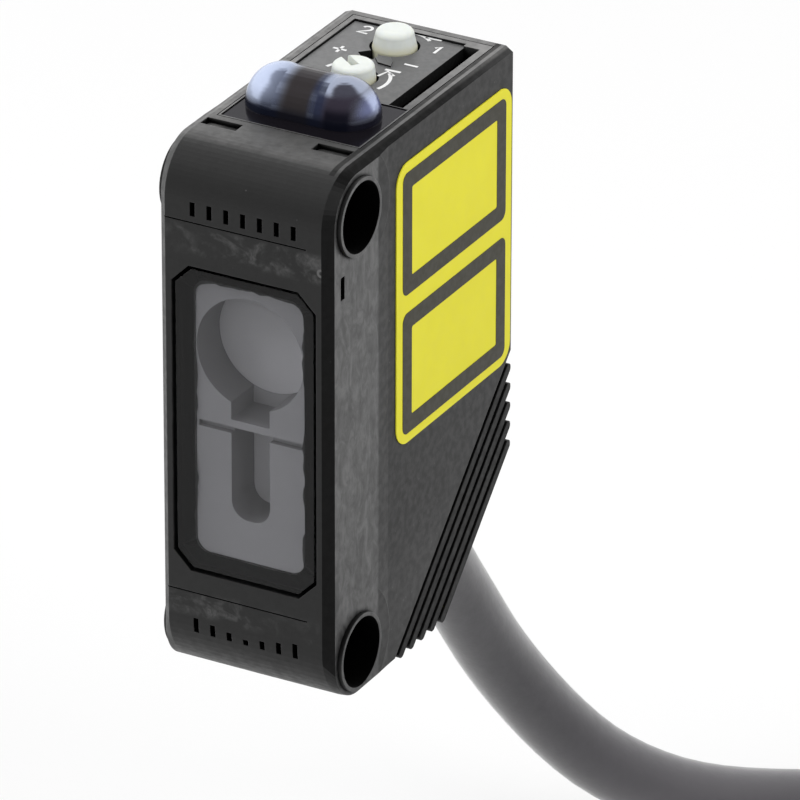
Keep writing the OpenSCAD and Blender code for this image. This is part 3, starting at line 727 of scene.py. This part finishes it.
def dome_paint():
    """Smoky blue dome, polished. Its painted highlights, painted dark reflections and glossy zones
    lie where the photo shows them.
    """
    p = Paint("dome_acrylic")
    high = p.minus(p.z, CASE_TOP)
    foot = p.ramp(high, -0.06, 0.06, 1.0, 0.0)

    # Smoky colours: brown in the middle and plum to the right. Painted reflections: a dark block in
    # the right lobe, a pale highlight on the left lobe, a lilac highlight on the right edge and a
    # dark lower wall
    body = p.mix(p.noise(0.5, 2), (0.020, 0.024, 0.048, 1), (0.032, 0.038, 0.070, 1))
    body = p.mix(p.band(p.x, -1.2, 0.1, 0.5), body, (0.034, 0.030, 0.031, 1))
    body = p.mix(p.ramp(p.x, 0.9, 1.5), body, (0.034, 0.029, 0.042, 1))
    # Painted dark reflection in the right lobe
    dark_reflection = p.times(
        p.band(p.x, 1.5, 2.5, 0.3), p.ramp(high, 0.75, 1.25, 1.0, 0.0),
        p.ramp(p.y, 7.0, 7.4, 1.0, 0.0),
    )
    body = p.mix(p.times(dark_reflection, 0.85), body, (0.004, 0.004, 0.009, 1))
    # Painted highlight on the left lobe
    left_highlight = p.times(p.ramp(p.x, -3.0, -0.9, 1.0, 0.0), p.ramp(high, 0.3, 1.4))
    body = p.mix(left_highlight, body, (0.36, 0.41, 0.56, 1))
    # Painted lilac highlight on the right edge
    lilac_highlight = p.times(p.ramp(p.x, 2.7, 3.3), p.ramp(high, 0.3, 1.0))
    body = p.mix(lilac_highlight, body, (0.17, 0.19, 0.36, 1))
    # Painted dark reflection on the lower wall
    body = p.mix(p.ramp(high, 0.25, 0.85, 0.8, 0.0), body, (0.005, 0.006, 0.012, 1))

    # Painted reflection: reflections show only on the left lobe, a thin painted highlight line, and
    # the crown and edge of the right lobe
    left = p.ramp(p.x, -2.0, -0.9, 1.0, 0.0)
    line = p.times(p.band(p.x, 0.4, 0.6, 0.2), p.ramp(high, 1.3, 1.7, 0.45, 0.1))
    crown = p.times(p.ramp(p.x, 0.45, 0.9), p.ramp(high, 1.45, 1.8))
    right = p.ramp(p.x, 2.35, 3.0)
    painted_gloss = p.times(
        p.most(left, right, crown, line), p.ramp(high, 0.25, 0.9, 0.08, 1.0),
        p.off(foot), p.ramp(dark_reflection, 0, 1, 1.0, 0.2),
    )
    p.set(
        Base_Color=p.mix(foot, body, (0.008, 0.007, 0.009, 1)),
        Roughness=p.ramp(p.noise(3, 3), 0.3, 0.7, 0.09, 0.13), IOR=3.4,
        Specular_Tint=p.mix(painted_gloss, (0.015, 0.015, 0.02, 1), (0.70, 0.79, 1.0, 1)),
        Transmission_Weight=0.08, Coat_Weight=0.06, Coat_Roughness=0.03,
    )
    p.bump((0.006, p.noise(0.9, 2)), soft_edges=0.1)
    p.let_lamps_through((0.35, 0.4, 0.6, 1))
    return p.material


def knob_paint():
    """Off-white control knobs, a little translucent and warmer towards the panel."""
    p = Paint("knob_plastic")
    cool = p.mix(p.noise(1.5, 3), (0.64, 0.67, 0.64, 1), (0.72, 0.75, 0.72, 1))
    warm = p.ramp(p.z, CASE_TOP - 0.15, CASE_TOP + 0.35, 0.75, 0.0)
    base = p.mix(warm, cool, (0.60, 0.58, 0.38, 1))
    p.set(
        Base_Color=base, Roughness=p.ramp(p.noise(5, 3), 0.3, 0.7, 0.34, 0.46), IOR=1.5,
        Subsurface_Weight=0.35, Subsurface_Scale=0.0004, Subsurface_Radius=(1.0, 0.9, 0.6),
    )
    p.bump((0.006, p.noise(5, 3)), soft_edges=0.08)
    return p.material


def label_paint():
    """Yellow printed film with a light satin face."""
    p = Paint("label_film")
    base = p.mix(p.noise(0.5, 3), (0.72, 0.66, 0.028, 1), (0.79, 0.735, 0.036, 1))
    base = p.mix(p.times(p.specks(1.2, 0.07, 0.1), 0.4), base, (0.45, 0.42, 0.1, 1))
    p.set(
        Base_Color=base, Roughness=p.ramp(p.noise(2, 3), 0.3, 0.7, 0.36, 0.46), IOR=1.3,
        Specular_IOR_Level=0.25,
    )
    p.bump((0.003, p.noise(4, 3)))
    return p.material


def print_paint():
    p = Paint("label_ink")
    base = p.mix(p.noise(1.8, 4, 0.65), (0.030, 0.028, 0.017, 1), (0.042, 0.039, 0.026, 1))
    base = p.mix(p.times(p.specks(2.4, 0.12, 0.14), 0.3), base, (0.30, 0.28, 0.05, 1))
    p.set(
        Base_Color=base, Roughness=p.ramp(p.noise(3, 3), 0.3, 0.7, 0.42, 0.52), IOR=1.4,
        Specular_IOR_Level=0.35,
    )
    p.bump((0.002, p.noise(9, 3)))
    return p.material


def cable_paint():
    """Soft grey jacket with a fine drawn grain, and painted shade that darkens it where it leaves
    the case.
    """
    p = Paint("cable_jacket")
    base = p.mix(p.noise(0.12, 4, 0.6), (0.115, 0.110, 0.120, 1), (0.145, 0.138, 0.150, 1))
    # Painted shade where the cable leaves the case
    base = p.mix(p.ramp(p.x, 2, 15, 0.92, 0.0), base, (0.022, 0.021, 0.024, 1))
    base = p.mix(p.times(p.noise(1.5, 5, 0.7), 0.25), base, (0.16, 0.153, 0.166, 1))
    p.set(
        Base_Color=base, Roughness=p.ramp(p.noise(1.4, 4), 0.3, 0.7, 0.42, 0.58), IOR=1.5,
        Specular_IOR_Level=0.35, Sheen_Weight=1.0, Sheen_Roughness=0.5,
    )
    p.bump((0.006, p.noise(5, 3)), (0.02, p.noise(0.6, 2)))
    return p.material


def plain_paint(name, low, high, roughness=(0.4, 0.55), grain=6, **values):
    """A moulded or insulated finish: two shades in a cloudy mix and a fine grain."""
    p = Paint(name)
    p.set(
        Base_Color=p.mix(p.noise(1.2, 4), low, high),
        Roughness=p.ramp(p.noise(3, 3), 0.3, 0.7, *roughness), **values,
    )
    p.bump((0.003, p.noise(grain, 3)))
    return p.material


def metal_paint(name, colour, roughness):
    """Plated or drawn metal with fine lines along its length."""
    p = Paint(name)
    shade = p.mix(p.noise(2, 4), colour, tuple(c * 0.85 for c in colour[:3]) + (1,))
    p.set(
        Base_Color=shade, Metallic=1.0,
        Roughness=p.ramp(p.noise(5, 4), 0.3, 0.7, roughness * 0.8, roughness * 1.2),
    )
    p.bump((0.002, p.noise(9, 3, stretch=(1, 0.2, 1))))
    return p.material


def board_paint():
    """Circuit board: green mask over traces, with small bare pads."""
    p = Paint("circuit_board")
    traces = p.noise(0.9, 1, 0.3, stretch=(1, 1, 3))
    mask = p.mix(p.band(traces, 0.48, 0.56, 0.01), srgb("#0e4a22"), srgb("#1d6a34"))
    base = p.mix(p.specks(1.1, 0.16, 0.5), mask, srgb("#c9b27a"))
    p.set(Base_Color=base, Roughness=p.ramp(p.noise(4, 3), 0.3, 0.7, 0.25, 0.4), IOR=1.5)
    p.bump((0.02, p.band(traces, 0.48, 0.56, 0.02)))
    return p.material


def make_finishes():
    return {
        "case": case_paint(),
        "cover": cover_paint(),
        "panel": panel_paint(),
        "window": window_paint(),
        "seal": seal_paint(),
        "optics_plastic": optics_paint(),
        "lens": lens_paint(),
        "dome": dome_paint(),
        "knob": knob_paint(),
        "label": label_paint(),
        "print": print_paint(),
        "cable": cable_paint(),
        "board": board_paint(),
        "chip": plain_paint("filter_resin", grey(0.012), grey(0.02), (0.2, 0.3)),
        "can_metal": metal_paint("plated_metal", (0.62, 0.62, 0.61, 1), 0.28),
        "pin_metal": metal_paint("gilt_pins", (0.80, 0.60, 0.26, 1), 0.25),
        "copper": metal_paint("copper_strand", (0.78, 0.42, 0.24, 1), 0.3),
        "led_green": plain_paint(
            "green_lamp", (0.1, 0.5, 0.2, 1), (0.14, 0.6, 0.25, 1), (0.15, 0.25)
        ),
        "led_orange": plain_paint(
            "orange_lamp", (0.8, 0.3, 0.06, 1), (0.9, 0.4, 0.1, 1), (0.15, 0.25)
        ),
        "base_plastic": plain_paint("control_base", grey(0.02), grey(0.035)),
        "bush": plain_paint("bush_rubber", grey(0.02), grey(0.032), (0.5, 0.65)),
        "core_insulation": plain_paint("core_insulation", srgb("#6b3f24"), srgb("#7a4a2c")),
        "tie": plain_paint("white_nylon", grey(0.66, 0.01), grey(0.74, 0.01), (0.35, 0.5)),
        "lead_brown": plain_paint("brown_insulation", srgb("#5e3620"), srgb("#70432a")),
        "lead_blue": plain_paint("blue_insulation", srgb("#234a9c"), srgb("#2f5cb4")),
        "lead_black": plain_paint("black_insulation", grey(0.008), grey(0.014)),
    }


def dress_nodes(finish):
    """Every CAD node takes the finish of its own slot in the record."""
    for part in frame["record"]["subparts"]:
        node = frame["nodes"][part["node"]]
        node.data.materials.clear()
        node.data.materials.append(finish[part["material_slot"]])


# Printed marks on the control plate
INK_Z = 30.88
INK_T = 0.012
SWEEP_R = 1.95
WIDE = 0.2
THIN = 0.16


def add_stroke(mesh, points, width):
    """A flat printed line of even width through points (x, y) on the control plate."""
    points = [Vector(p) for p in points]
    rings = []
    for i, point in enumerate(points):
        run = (points[min(i + 1, len(points) - 1)] - points[max(i - 1, 0)]).normalized()
        across = Vector((-run.y, run.x)) * width / 2
        left, right = point + across, point - across
        top = INK_Z + INK_T
        corners = ((left, INK_Z), (right, INK_Z), (right, top), (left, top))
        rings.append([mesh.verts.new(at(p.x, p.y, z)) for p, z in corners])
    join_rings(mesh, rings)
    mesh.faces.new(rings[0])
    mesh.faces.new(rings[-1][::-1])


def arc_points(centre, radius, first, last, steps=20):
    """Points of an arc. Angles are in degrees from +X towards +Y."""
    angles = [radians(first + (last - first) * i / steps) for i in range(steps + 1)]
    return [(centre[0] + radius * cos(a), centre[1] + radius * sin(a)) for a in angles]


def add_marks(ink):
    """Generic marks: a sweep from less to more round the adjuster, two places for the selector."""
    adjuster = (CONTROL_X, ADJUSTER_Y)
    selector = (CONTROL_X, SELECTOR_Y)
    tip = arc_points(adjuster, SWEEP_R, 50, 51, 1)[0]
    bowl = arc_points((-2.9, 18.45), 0.27, 160, -40, 10)
    strokes = (
        # the sweep, a short arc on the other side, the sweep's arrow and the bar beside it
        (arc_points(adjuster, SWEEP_R, -20, 42), WIDE),
        (arc_points(adjuster, SWEEP_R, 135, 165), WIDE),
        ([(tip[0] + 0.55, tip[1] - 0.35), tip, (tip[0] - 0.2, tip[1] - 0.75)], THIN),
        ([(0.45, 14.35), (1.35, 14.4)], WIDE),
        # minus and plus
        ([(1.0, 15.45), (1.8, 15.45)], THIN),
        ([(-3.3, 15.45), (-2.5, 15.45)], THIN),
        ([(-2.9, 15.05), (-2.9, 15.85)], THIN),
        # the selector's arc and tick, then the digits 1 and 2
        (arc_points(selector, SWEEP_R, 48, 85), WIDE),
        ([(0.35, 18.95), (1.3, 19.0)], 0.18),
        ([(1.45, 18.0), (1.7, 18.3), (1.7, 17.4)], THIN),
        ([*bowl, (-3.2, 17.85), (-2.6, 17.85)], THIN),
    )
    mesh = bmesh.new()
    for points, width in strokes:
        add_stroke(mesh, points, width)
    return mesh_object("printed_marks", mesh, ink)


# Light, floor and background
LAMPS = {
    # place and size in mm, radiance
    "key_lamp": ((330, -60, 260), (260, 260), 3.2),
    "top_left_lamp": ((-260, -160, 260), (220, 220), 3.4),
    "top_lamp": ((0, 60, 420), (260, 200), 2.6),
}
LAMP_AIM = (0, 10, 20)
FLOOR_HALF = 3
# Direction in which glossy rays find the bright tent, at the rear left
TENT = (-0.64, 0.77, 0)


def add_lamps():
    for name, (place, size, radiance) in LAMPS.items():
        data = bpy.data.lights.new(name, "AREA")
        data.shape = "RECTANGLE"
        data.size, data.size_y = (s * MM for s in size)
        data.energy = radiance * pi * data.size * data.size_y
        lamp = bpy.data.objects.new(name, data)
        bpy.context.collection.objects.link(lamp)
        lamp.location = at(*place)
        lamp.visible_glossy = False
        aim = at(*LAMP_AIM) - lamp.location
        lamp.rotation_euler = aim.to_track_quat("-Z", "Y").to_euler()


class Surroundings(Tree):
    """What the rays of one background or floor tree find, by kind of ray and by place."""

    def __init__(self, tree):
        super().__init__(tree)
        self.rays = self.add("LightPath").outputs
        if "Background" in tree.nodes:
            self.place = self.add("TexCoord").outputs["Generated"]
        else:
            self.place = self.add("NewGeometry").outputs["Position"]

    def clear(self):
        """1 for the rays of the camera and those that pass a clear piece."""
        return self.most(self.rays["Is Camera Ray"], self.rays["Is Transmission Ray"])

    def choose(self, chosen, otherwise, picked):
        """Goes from otherwise to picked as chosen goes from 0 to 1."""
        return self.ramp(chosen, 0, 1, otherwise, picked)

    def towards(self, direction):
        """How far a place lies towards a direction, both seen from the origin."""
        unit = self.add("VectorMath", operation="NORMALIZE")
        self.put(unit.inputs[0], self.place)
        return self.against(unit.outputs[0], direction)


def add_world():
    """Pale surroundings: white to the camera, and for glossy rays a bright tent."""
    world = bpy.data.worlds.new("studio")
    bpy.context.scene.world = world
    world.use_nodes = True
    around = Surroundings(world.node_tree)
    background = world.node_tree.nodes["Background"]
    background.inputs["Color"].default_value = (1, 1, 1, 1)
    low_enough = around.ramp(around.towards((0, 0, 1)), 0.72, 0.95, 1.0, 0.0)
    in_tent = around.ramp(around.towards(TENT), -0.35, 0.3)
    tent = around.ramp(around.times(low_enough, in_tent), 0, 1, 0.16, 1.7)
    strength = around.choose(around.rays["Is Glossy Ray"], 0.62, tent)
    around.put(background.inputs["Strength"], around.choose(around.clear(), strength, 1.0))


def add_floor():
    """A pale floor that keeps the shadow and otherwise reads as white."""
    mesh = bmesh.new()
    bmesh.ops.create_grid(mesh, x_segments=1, y_segments=1, size=FLOOR_HALF)
    data = bpy.data.meshes.new("floor")
    mesh.to_mesh(data)
    mesh.free()
    floor = bpy.data.objects.new("floor", data)
    bpy.context.collection.objects.link(floor)
    floor.location = at(0, 0, FLOOR_Z)
    material = bpy.data.materials.new("floor_white")
    material.use_nodes = True
    shader = material.node_tree.nodes["Principled BSDF"]
    shader.inputs["Base Color"].default_value = (0.9, 0.9, 0.9, 1)
    shader.inputs["Roughness"].default_value = 0.9
    around = Surroundings(material.node_tree)
    glossy = around.rays["Is Glossy Ray"]
    tent = around.ramp(around.towards(TENT), -0.3, 0.5, 0.5, 1.1)
    glow = around.add("Emission", Strength=around.choose(glossy, 1.0, tent))
    around.blend(around.most(around.times(around.clear(), 0.6), glossy), shader, glow)
    data.materials.append(material)


add_camera()
finishes = make_finishes()
add_cable(finishes)
dress_nodes(finishes)
add_marks(plain_paint("white_ink", grey(0.72), grey(0.8)))
add_world()
add_floor()
add_lamps()
bpy.context.scene.view_settings.view_transform = "Standard"
